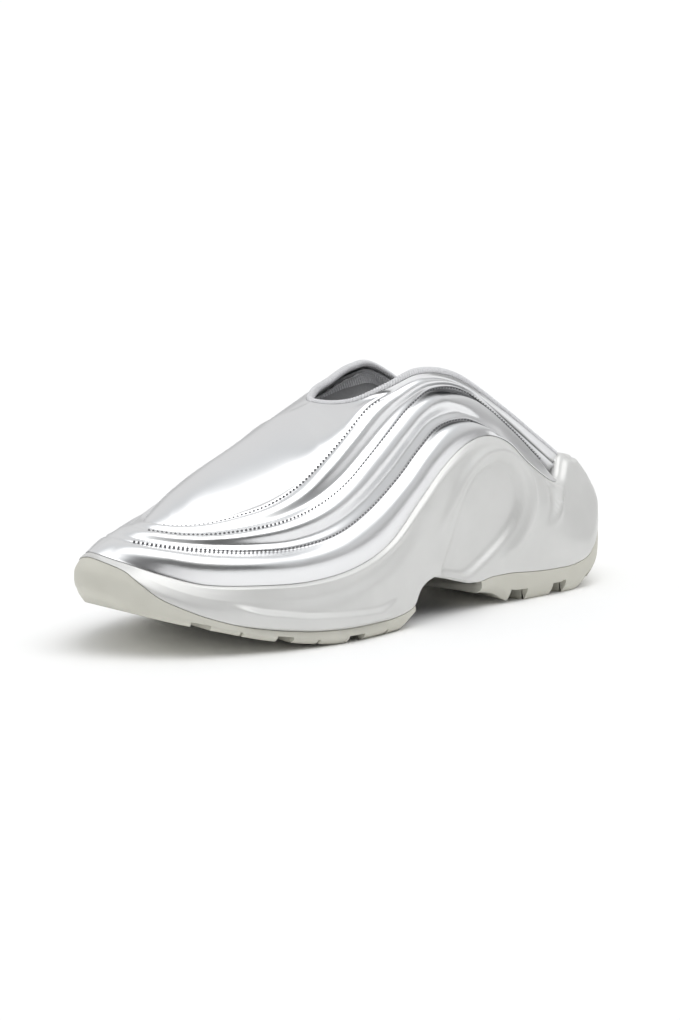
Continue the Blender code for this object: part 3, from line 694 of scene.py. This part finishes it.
def make_upper():
    """Shell and lining of the upper. Gives the seams back for the stitches: points and normals by ray."""
    stations = np.arange(UPPER_END * STEPS + 1) / STEPS
    outer = both_sides(lambda side: upper_side(stations, side, 1.0))
    smooth_base = both_sides(lambda side: upper_side(stations, side, 0.0))
    inward = grid_normals(smooth_base)
    at = np.concatenate([stations[::-1], stations[1:]])
    outer, shade = cut_seams(outer, inward, at)
    seams = [(outer[:, cut], -inward[:, cut], at) for cut in np.cumsum(COLUMNS)[:3]]
    with_caps = rounded_ends(outer, inward)
    shell = add_piece("upper_shell", with_caps, grid_faces(*with_caps.shape[:2]), SILVER, merge=0)
    caps = (len(with_caps) - len(outer)) // 2
    # The grooves' painted shade goes onto the shell as its 'shade' attribute, which darkens the silver's
    # colour
    values = shell.data.attributes.new("shade", "FLOAT", "POINT")
    values.data.foreach_set("value", np.pad(shade, ((caps, caps), (0, 0)), "edge").ravel())
    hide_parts("upper")

    inner = smooth_base + inward * WALL
    shut = THROAT * STEPS
    half = len(stations) - 1
    for ray in range(shut + 1):
        left, right = half - ray, half + ray
        lining = (inner[left, -1] + inner[right, -1]) / 2
        lining[1] = smooth_base[left, -1, 1]
        inner[left, -1] = inner[right, -1] = lining
    into_wall = both_sides(lambda side: collar_line(stations, side)[2])
    around = at >= THROAT
    inner[around, -1] = outer[around, -1] + into_wall[around] * WALL * 0.9
    foot = both_sides(lambda side: outward(line_points(FEATHER, stations, side), stations, side))
    inner[:, 0] = outer[:, 0] - foot * WALL
    inner = inner[:, ::2]
    lining = add_piece("upper_lining", inner, grid_faces(*inner.shape[:2]), LINING)
    make_facing(inner, at)
    return seams


FACING_DEPTH = 10.0 * MM
FACING_RAISE = 0.80 * MM  # how far the knit stands in from the lining
FACING_ROLL = 1.00 * MM  # how much further it does at its top
FACING_POINTS = (900, 12)  # along the collar and down from it
RIB_PITCH = 1.4 * MM
RIB_HEIGHT = 0.22 * MM


def make_facing(inner, at):
    """Ribbed knit turned in at the collar, from the lining's rays."""
    toe = len(at) // 2
    for name, part in (("outer", slice(0, toe + 1)), ("inner", slice(toe, None))):
        rays = inner[part][at[part] >= THROAT]
        fine = np.linspace(0, len(rays) - 1, FACING_POINTS[0])
        depths = np.linspace(0, 1, FACING_POINTS[1]) * FACING_DEPTH
        lines = []
        for ray in rays:
            down = ray[::-1]
            lengths = np.r_[0, np.cumsum(np.linalg.norm(np.diff(down, axis=0), axis=1))]
            lines.append(np.column_stack([np.interp(depths, lengths, down[:, k]) for k in range(3)]))
        lines = np.array(lines)
        low = np.clip(fine.astype(int), 0, len(rays) - 2)
        share = (fine - low)[:, None, None]
        sheet = lines[low] * (1 - share) + lines[low + 1] * share
        edge = np.r_[0, np.cumsum(np.linalg.norm(np.diff(sheet[:, 0], axis=0), axis=1))]
        rib = FACING_RAISE + RIB_HEIGHT * np.cos(edge * 2 * math.pi / RIB_PITCH)
        roll = FACING_ROLL * (1 - depths / FACING_DEPTH)[None, :, None] ** 2
        sheet = sheet + grid_normals(sheet[:, ::-1])[:, ::-1] * (rib[:, None, None] + roll)
        facing = add_piece("collar_facing_" + name, sheet, grid_faces(*sheet.shape[:2]), KNIT)


BINDING_POINTS = (1000, 16)  # along each side and around
BINDING_RIB = 0.09  # height of its ribs as a share of its radius
SQUARENESS = 2.6  # 2 is an oval section, more is squarer


def make_binding():
    turns = BINDING_POINTS[1]
    stations = THROAT + np.linspace(0, UPPER_END - THROAT, BINDING_POINTS[0])
    angles = np.arange(turns) * 2 * math.pi / turns

    def side_rows(side):
        edge, away, across = collar_line(stations, side)
        lengths = np.r_[0, np.cumsum(np.linalg.norm(np.diff(edge, axis=0), axis=1))]
        rib = 1 + BINDING_RIB * np.cos(lengths * 2 * math.pi / RIB_PITCH)
        start = edge + away * BINDING_HEIGHT
        middle = start - away * BINDING_HEIGHT / 2 + across * (WALL / 2)
        ring = []
        for angle in angles:
            squarish = abs(math.cos(angle)) ** SQUARENESS + abs(math.sin(angle)) ** SQUARENESS
            squarish = 1 / squarish ** (1 / SQUARENESS)
            high = away * math.cos(angle) * squarish * BINDING_HEIGHT / 2
            wide = across * math.sin(angle) * squarish * BINDING_WIDTH / 2
            ring.append(middle + (high + wide) * rib[:, None])
        return np.stack(ring, axis=1)

    rows = both_sides(side_rows)
    faces = grid_faces(len(rows), turns, wrap=True).tolist()
    faces.append(list(range(turns)))
    faces.append(list(range((len(rows) - 1) * turns, len(rows) * turns)))
    binding = add_piece("collar_ribbing", rows, faces, KNIT)
    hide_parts("collar_binding")


# Midsole


def path_distance(x, z, path):
    """Distance to a path in the side's x and z, and how far along it the nearest point lies."""
    path = np.array(path, float) * MM
    best = np.full(x.shape, 1e9)
    along = np.zeros(x.shape)
    steps = np.linalg.norm(np.diff(path, axis=0), axis=1)
    total = steps.sum()
    gone = 0.0
    for (ax, az), (bx, bz), step in zip(path, path[1:], steps):
        dx, dz = (bx - ax) / step, (bz - az) / step
        t = np.clip((x - ax) * dx + (z - az) * dz, 0, step)
        away = np.hypot(x - ax - t * dx, z - az - t * dz)
        closer = away < best
        best = np.where(closer, away, best)
        along = np.where(closer, (gone + t) / total, along)
        gone += step
    return best, along


def fine_path(path, count=40):
    """The path's corners rounded off."""
    return rows_at(path, np.linspace(0, len(path) - 1, count))


SIDE_STEP = ((-104, 25), (-88, 20), (-67, 16), (-43, 14), (-24, 13), (-8, 17))
FORE_CREASE = ((-101, 27), (-74, 23.5), (-51, 24), (-33, 28), (-14, 35), (0, 44), (12, 55))
ARM_RIDGE = (
    (16, 36), (27, 50), (36, 62), (46, 70), (57, 74), (68, 73),
    (78, 67), (85, 56), (84, 43), (77, 31), (62, 19),
)
# Relief of the midsole's side as paths of x and z in millimetres, with height and half width in millimetres
# and the shares of the path over which it starts and ends
RELIEF = (
    (SIDE_STEP, "step", 2.4, 3.0, 0.15, 0.25),
    (FORE_CREASE, "line", -1.3, 4.0, 0.25, 0.3),
    (ARM_RIDGE, "line", 2.0, 2.6, 0.2, 0.12),
    (((113, 58), (113, 52), (109, 45), (103, 38), (95, 31)), "line", 2.0, 2.2, 0.15, 0.4),
    (((96, 62), (101, 55), (103, 48), (100, 40), (93, 33)), "line", -1.6, 3.0, 0.2, 0.4),
)
# Outline of the leaf-shaped hollow in the side, x and z in millimetres, and its depth and its slope's width
LEAF = (
    (20, 21), (29, 37), (37, 53), (46, 64), (57, 69), (68, 69), (76, 63),
    (79, 54), (78, 44), (73, 36), (64, 28), (52, 21), (40, 16), (28, 16),
)
LEAF_DEPTH = 3.0 * MM
LEAF_SLOPE = 3.6 * MM


def leaf_share(x, z):
    """How far a point of the side lies in the leaf-shaped hollow, from 0 outside to 1 on its floor."""
    outline = fine_path((*LEAF, LEAF[0]), 60)
    away, _ = path_distance(x, z, outline)
    inside = np.zeros(x.shape, bool)
    corners = np.array(outline) * MM
    for (ax, az), (bx, bz) in zip(corners, corners[1:]):
        crosses = (az > z) != (bz > z)
        at = ax + (z - az) * (bx - ax) / (bz - az if bz != az else 1)
        inside ^= crosses & (x < at)
    return smooth(away * inside / LEAF_SLOPE)


def side_relief(x, z):
    """How far the midsole's side stands out or in, in metres."""
    lift = np.zeros(x.shape)
    for path, kind, height, width, start, end in RELIEF:
        away, along = path_distance(x, z, fine_path(path))
        ends = smooth(along / start) * smooth((1 - along) / end)
        bell = np.exp(-((away / (width * MM)) ** 2))
        if kind == "step":
            below = (np.interp(x, *np.array(path).T * MM) - z) / (width * MM)
            bell = smooth(0.5 + below) * np.exp(-((np.clip(below, 0, None) / 3) ** 2))
            ends = smooth((x / MM - path[0][0]) / 14) * smooth((path[-1][0] - x / MM) / 20)
        lift += height * MM * bell * ends
    return lift - LEAF_DEPTH * leaf_share(x, z)


def middle_of(outline):
    """Where a ray's level runs end, on the shoe's middle line."""
    x = outline[:, 0] * BED_END
    return np.column_stack([x, middle_y(x), np.zeros(len(x))])


def level_run(start, end, table, offset, count):
    """Points from an edge to the middle line, at the height of a profile."""
    run = []
    for share in np.linspace(0, 1, count + 1)[1:]:
        points = start + (end - start) * share
        points[:, 2] = height_at(table, points[:, 0], SOLE) + offset
        run.append(points)
    return run


def bed_edge(stations, side, play, offset):
    """Edge of the footbed, straight below the rim's inner side."""
    rim = line_points(FEATHER, stations, side)
    points = rim - outward(rim, stations, side) * (RIM + play)
    points[:, 2] = height_at(FOOTBED, points[:, 0], SOLE) + offset
    return points


def toe_lean(stations):
    """How far the bumper's upper edge lies inside the outline."""
    return TOE_LEAN * smooth(1 - stations / TOE_LEAN_END)


def side_foot(stations, side, inset, table, offset=0.0):
    """The outline moved in by an inset, at the height that a profile has at the outline."""
    outline = outline_points(stations, side)
    points = outline - outward(outline, stations, side) * np.reshape(inset, (-1, 1))
    points[:, 2] = height_at(table, outline[:, 0], SOLE) + offset
    return points


def kept_inside(point, outline, beyond):
    """The points, moved in softly where they would pass the sole's outline."""
    past = np.sum((point - outline)[:, :2] * beyond[:, :2], axis=1)
    back = (past + np.hypot(past, OUTLINE_SOFTNESS)) / 2
    return point - beyond * back[:, None]


def make_midsole():
    stations = np.arange(HEEL * STEPS + 1) / STEPS
    shares = np.r_[np.linspace(0, 0.12, 8, endpoint=False), np.linspace(0.12, 1, 46)]
    bulges = np.interp(shares, *np.array(SIDE).T)

    def side_rows(side):
        outline = outline_points(stations, side)
        rim = line_points(FEATHER, stations, side)
        out = outward(rim, stations, side)
        rim_inside = rim - out * RIM
        lean = toe_lean(stations)
        seat = side_foot(stations, side, lean, RUBBER_TOP)
        seat_inside = side_foot(stations, side, lean + LIP + GAP, RUBBER_TOP)
        foot = side_foot(stations, side, lean + LIP + GAP, UNDERSIDE)
        size = np.linalg.norm(rim - seat, axis=1)
        swell = np.minimum(SIDE_BULGE, SIDE_LIMIT * size)
        beyond = outward(outline, stations, side)
        face = []
        for share, bulge in zip(shares, bulges):
            point = rim + (seat - rim) * share + out * (swell * bulge)[:, None]
            point = kept_inside(point, outline, beyond)
            lift = side_relief(point[:, 0], point[:, 2]) * smooth(share / 0.1) * smooth((1 - share) / 0.06)
            face.append(point + out * lift[:, None])
        corner = bed_edge(stations, side, 0.0, -INSOLE_THICK - 2 * GAP)
        middle = middle_of(outline)
        under = level_run(foot, middle, UNDERSIDE, 0.0, UNDER_STEPS)
        bed = level_run(corner, middle, FOOTBED, -INSOLE_THICK - 2 * GAP, 5)
        rim_top = []
        bumps = RIM_BUMP + (LIP_BUMP - RIM_BUMP) * soft_start(stations, LIP_START)
        for t in (0.1, 0.25, 0.5, 0.75, 0.9):
            bump = bumps * math.sin(math.pi * t) ** 0.7
            rim_top.append(rim_inside + (rim - rim_inside) * t + np.outer(bump, (0, 0, 1)))
        return np.stack([*bed[::-1], corner, rim_inside, *rim_top, *face, seat_inside, foot, *under], axis=1)

    rows = both_sides(side_rows)
    outwards = [face[::-1] for face in grid_faces(*rows.shape[:2])]
    midsole = add_piece("midsole_foam", rows, outwards, FOAM, merge=0)
    # The underside between the treads is coloured near-black: painted shade under the arch
    midsole.data.materials.append(UNDERSIDE_PAINTED_SHADE)
    columns = rows.shape[1] - 1
    last = np.arange(columns - UNDER_STEPS, columns)
    painted_shade_faces = np.arange(len(rows) - 1)[:, None] * columns + last[None, :]
    indices = np.zeros(len(midsole.data.polygons), dtype=np.int32)
    indices[painted_shade_faces.ravel()] = 1
    midsole.data.polygons.foreach_set("material_index", indices)
    sharpen(midsole, 50)
    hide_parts("midsole")


# Treads


def station_of(x):
    """The station where the outline reaches a given x."""
    stations = np.linspace(0, HEEL, 2001)
    return float(np.interp(x, outline_points(stations, -1)[:, 0], stations))


# Grooves and thin cuts across the treads, along the rays: x of the middle at the outline in lengths, width and
# depth in millimetres
FORE_GROOVES = (
    (-0.385, 7.5, 2.6),
    (-0.327, 0.9, 2.2),
    (-0.258, 7.5, 3.0),
    (-0.200, 0.9, 2.4),
    (-0.128, 9.0, 3.4),
    (-0.060, 0.9, 2.4),
)
HEEL_GROOVES = ((0.255, 10.5, 5.6), (0.343, 8.5, 6.0), (0.418, 5.0, 4.0))
GROOVE_SIDE = 0.25 * MM  # how far a groove's side leans
GROOVE_INSET = 6.0 * MM  # how far a groove's roof lies behind the tread's side
GROOVE_COVER = 0.9 * MM  # rubber left between a groove and the midsole


def with_grooves(stations, grooves):
    """The stations with those of the grooves' edges added, and how deep the tread is cut at each of them."""
    kept = stations
    edges = []
    for share, width, depth in grooves:
        start, end = (share * LENGTH + half * width * MM / 2 for half in (-1, 1))
        inside = (station_of(start), station_of(end))
        outside = (station_of(start - GROOVE_SIDE), station_of(end + GROOVE_SIDE))
        kept = kept[(kept < outside[0]) | (kept > outside[1])]
        edges += [(outside[0], 0.0), (outside[1], 0.0)]
        edges += [(station, depth * MM) for station in np.linspace(*inside, 12)]
    rows = sorted([(station, 0.0) for station in kept] + edges)
    return np.array([row[0] for row in rows]), np.array([row[1] for row in rows])


def make_tread(name, node, plain_stations, grooves):
    stations, cut = with_grooves(plain_stations, grooves)

    def side_rows(side):
        outline = outline_points(stations, side)
        out = outward(outline, stations, side)
        lean = toe_lean(stations)
        top = side_foot(stations, side, lean, RUBBER_TOP, -GAP)
        top_inside = side_foot(stations, side, lean + LIP, RUBBER_TOP, -GAP)
        corner = side_foot(stations, side, lean + LIP, UNDERSIDE, -GAP)
        seat = side_foot(stations, side, lean + LIP + GAP, UNDERSIDE, -GAP)
        lower = side_foot(stations, side, TREAD_INSET, TREAD)
        lower[:, 2] = height_at(TREAD, lower[:, 0], SOLE)
        middle = middle_of(outline)
        bed = level_run(seat, middle, UNDERSIDE, -GAP, 3)
        ground = level_run(lower, middle, TREAD, 0.0, 44)
        ceiling = height_at(UNDERSIDE, outline[:, 0], SOLE) - GROOVE_COVER
        roof = np.minimum(lower[:, 2] + cut, np.maximum(ceiling, lower[:, 2]))
        done = []
        for share in np.linspace(0, 1, 24):
            bow = (TREAD_INSET + lean) * 0.6 * math.sin(math.pi * share)
            point = kept_inside(top + (lower - top) * share + out * bow[:, None], outline, out)
            under = (point[:, 2] < roof) & (cut > 0)
            point -= out * (GROOVE_INSET * under)[:, None]
            point[:, 2] = np.where(under, roof, point[:, 2])
            done.append(point)
        for point in ground:
            low = point[:, 2]
            point[:, 2] = np.minimum(low + cut, np.maximum(ceiling, low))
            done.append(point)
        return np.stack([*bed[::-1], seat, corner, top_inside, *done], axis=1)

    if stations[0] == 0:
        rows = both_sides(side_rows)
    else:
        rows = np.concatenate([side_rows(-1), side_rows(1)[::-1][1:]])
    count = rows.shape[1]
    faces = grid_faces(len(rows), count).tolist()
    last = (len(rows) - 1) * count
    faces.append([*range(count), *range(last + count - 2, last, -1)])
    tread = add_piece(name, rows, faces, RUBBER)
    sharpen(tread, 35)
    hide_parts(node)


def make_treads():
    fore_end = station_of(FORE_END * LENGTH)
    fore = np.linspace(0, fore_end, 300)
    make_tread("forefoot_tread", "outsole_forefoot", fore, FORE_GROOVES)
    heel_start = station_of(HEEL_START * LENGTH)
    heel = np.linspace(heel_start, HEEL, 240)
    make_tread("heel_tread", "outsole_heel", heel, HEEL_GROOVES)


def make_insole():
    stations = np.arange(HEEL * 6 + 1) / 6

    def side_rows(side):
        outline = outline_points(stations, side)
        edge = bed_edge(stations, side, INSOLE_PLAY, 0.0)
        low_edge = edge - (0, 0, INSOLE_THICK)
        middle = middle_of(outline)
        top = level_run(edge, middle, FOOTBED, 0.0, 16)
        low = level_run(low_edge, middle, FOOTBED, -INSOLE_THICK, 4)
        return np.stack([*top[::-1], edge, low_edge, *low], axis=1)

    rows = both_sides(side_rows)
    insole = add_piece("insole_cover", rows, grid_faces(*rows.shape[:2]), LINING)
    sharpen(insole, 50)
    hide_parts("insole")


# Stitches

STITCH_PITCH = 2.0 * MM
STITCH_LENGTH = 1.25 * MM
STITCH_RADIUS = 0.38 * MM
STITCH_PROUD = 0.38 * MM  # how far a thread's middle lies off the cloth
STITCH_DIP = 0.6 * MM  # how far its ends lie below its middle
SEAM_ENDS = (12.1, 14.8, 10.5)  # stations where the stitching stops
NOSE = 1.3  # stations up to which the toe has no stitches, on the outer and the inner side
INNER_NOSE = 5.0
THREAD_SHAPE = ((0.0, 0.4), (0.12, 0.85), (0.5, 1.0), (0.88, 0.85), (1.0, 0.4))


def make_stitches(seams):
    """Short threads along the three seams, joined in one piece."""
    ring = 6
    points = []
    faces = []
    for (line, out, at), last in zip(seams, SEAM_ENDS):
        lengths = np.r_[0, np.cumsum(np.linalg.norm(np.diff(line, axis=0), axis=1))]
        signed = np.where(np.arange(len(at)) < len(at) // 2, -at, at)
        start, nose, beyond, end = np.interp((-last, -NOSE, INNER_NOSE, last), signed, lengths)
        for begin in np.arange(start, end - STITCH_LENGTH, STITCH_PITCH):
            if nose - STITCH_LENGTH < begin < beyond:
                continue
            spots = begin + np.array([0, 0.5, 1]) * STITCH_LENGTH
            first_end, middle, last_end = np.array([np.interp(spots, lengths, line[:, k]) for k in range(3)]).T
            normal = unit(np.array([np.interp(spots[1], lengths, out[:, k]) for k in range(3)]))
            along = unit(last_end - first_end)
            across = unit(np.cross(normal, along))
            first = len(points)
            for share, size in THREAD_SHAPE:
                lift = STITCH_PROUD - STITCH_DIP * (2 * share - 1) ** 2
                centre = middle + (last_end - first_end) * (share - 0.5) + normal * lift
                for turn in np.arange(ring) * 2 * math.pi / ring:
                    arm = across * math.cos(turn) + normal * math.sin(turn)
                    points.append(centre + arm * STITCH_RADIUS * size)
            rings = len(THREAD_SHAPE)
            faces.extend((grid_faces(rings, ring, wrap=True) + first).tolist())
            faces.append([first + k for k in range(ring)])
            faces.append([first + (rings - 1) * ring + k for k in range(ring)])
    stitches = add_piece("seam_stitches", points, faces, THREAD, merge=0)


# Studio


def make_floor():
    size = 30.0
    mesh = bpy.data.meshes.new("floor")
    corners = [(-size, -size, 0), (size, -size, 0), (size, size, 0), (-size, size, 0)]
    mesh.from_pydata(corners, [], [(0, 1, 2, 3)])
    floor = bpy.data.objects.new("floor", mesh)
    bpy.context.collection.objects.link(floor)
    material, shader = new_material("white_floor", (1.0, 1.0, 1.0), 0.9)
    shader.inputs["Specular IOR Level"].default_value = 0.0
    mesh.materials.append(material)


# The studio is a pale room with one large soft light in front, nearly overhead, and dark places low down in
# front, where the photographer stands, and beyond the heel. The room's colours go by the cosine of the angle
# to the light's middle
LIGHT = {"azimuth": 262, "elevation": 68}
ROOM = (
    (0.00, (0.76, 0.76, 0.76)),
    (0.60, (0.75, 0.75, 0.75)),
    (0.76, (0.44, 0.47, 0.49)),
    (0.88, (1.30, 1.30, 1.30)),
    (0.95, (3.00, 3.00, 3.00)),
)
DARK_PLACES = (
    {"azimuth": 246, "inner": 36, "outer": 54, "top_inner": 38, "top_outer": 54, "left": 0.0},
    {"azimuth": 335, "inner": 12, "outer": 36, "top_inner": 12, "top_outer": 34, "left": 0.60},
)

# The room grows dark towards the floor: elevations between which it does, and what is left there
HORIZON = {"low": 2, "high": 16, "left": 0.35}


def direction(azimuth, elevation):
    azimuth, elevation = math.radians(azimuth), math.radians(elevation)
    level = math.cos(elevation)
    return (math.cos(azimuth) * level, math.sin(azimuth) * level, math.sin(elevation))


def make_world():
    world = bpy.data.worlds.new("studio")
    bpy.context.scene.world = world
    world.use_nodes = True
    nodes, links = world.node_tree.nodes, world.node_tree.links
    place = nodes.new("ShaderNodeTexCoord")

    def toward(azimuth, elevation):
        cosine = nodes.new("ShaderNodeVectorMath")
        cosine.operation = "DOT_PRODUCT"
        links.new(place.outputs["Generated"], cosine.inputs[0])
        cosine.inputs[1].default_value = direction(azimuth, elevation)
        return cosine.outputs["Value"]

    def soft_step(source, start, end, low, high):
        step = nodes.new("ShaderNodeMapRange")
        step.interpolation_type = "SMOOTHSTEP"
        for name, value in (("From Min", start), ("From Max", end), ("To Min", low), ("To Max", high)):
            step.inputs[name].default_value = value
        links.new(source, step.inputs["Value"])
        return step.outputs["Result"]

    def combine(operation, first, second):
        node = nodes.new("ShaderNodeMath")
        node.operation = operation
        for socket, value in zip(node.inputs, (first, second)):
            if isinstance(value, float):
                socket.default_value = value
            else:
                links.new(value, socket)
        return node.outputs["Value"]

    brightest = max(max(colour) for _, colour in ROOM)
    room = nodes.new("ShaderNodeValToRGB")
    room.color_ramp.interpolation = "EASE"
    links.new(toward(LIGHT["azimuth"], LIGHT["elevation"]), room.inputs["Fac"])
    elements = room.color_ramp.elements
    while len(elements) < len(ROOM):
        elements.new(0.5)
    for element, (at, colour) in zip(elements, ROOM):
        element.position = at
        element.color = (*(value / brightest for value in colour), 1)

    strength = brightest
    for place_row in DARK_PLACES:
        cosines = [math.cos(math.radians(place_row[name])) for name in ("outer", "inner")]
        across = soft_step(toward(place_row["azimuth"], 0), *cosines, 0.0, 1.0)
        sines = [math.sin(math.radians(place_row[name])) for name in ("top_inner", "top_outer")]
        low_down = soft_step(toward(0, 90), *sines, 1.0, 0.0)
        shade = combine("MULTIPLY", combine("MULTIPLY", across, low_down), 1 - place_row["left"])
        strength = combine("MULTIPLY", combine("SUBTRACT", 1.0, shade), strength)
    sines = [math.sin(math.radians(HORIZON[name])) for name in ("low", "high")]
    above = soft_step(toward(0, 90), *sines, HORIZON["left"], 1.0)
    strength = combine("MULTIPLY", above, strength)
    background = nodes["Background"]
    links.new(room.outputs["Color"], background.inputs["Color"])
    links.new(strength, background.inputs["Strength"])


def make_camera():
    """A long lens at the photo's angle: 42 degrees round to the toe's outer side, 11 degrees up."""
    azimuth, elevation, distance = math.radians(42), math.radians(11), 2.4
    ahead = np.array([math.sin(azimuth), math.cos(azimuth), 0.0])
    look = ahead * math.cos(elevation) - np.array([0, 0, 1.0]) * math.sin(elevation)
    right = np.array([math.cos(azimuth), -math.sin(azimuth), 0.0])
    up = np.cross(right, look)
    low, high = (np.array(corner) for corner in cad_box)
    sides = [(low[k], high[k]) for k in range(3)]
    corners = np.array([[x, y, z] for x in sides[0] for y in sides[1] for z in sides[2]])
    centre = np.array([0.0, 0.0, 0.048])
    place = centre - look * distance
    camera = bpy.data.objects.new("camera", bpy.data.cameras.new("camera"))
    bpy.context.collection.objects.link(camera)
    turn = Matrix([[right[k], up[k], -look[k]] for k in range(3)])
    camera.matrix_world = Matrix.Translation(place.tolist()) @ turn.to_4x4()
    spread = np.abs((corners - centre) @ right).max() * 2
    camera.data.sensor_fit = "HORIZONTAL"
    camera.data.sensor_width = 36.0
    camera.data.lens = 36.0 * distance / (spread * 1.06)
    camera.data.clip_end = 100.0
    bpy.context.scene.camera = camera


make_stitches(make_upper())
make_binding()
make_midsole()
make_treads()
make_insole()
make_floor()
make_world()
make_camera()
bpy.context.scene.view_settings.view_transform = "Standard"
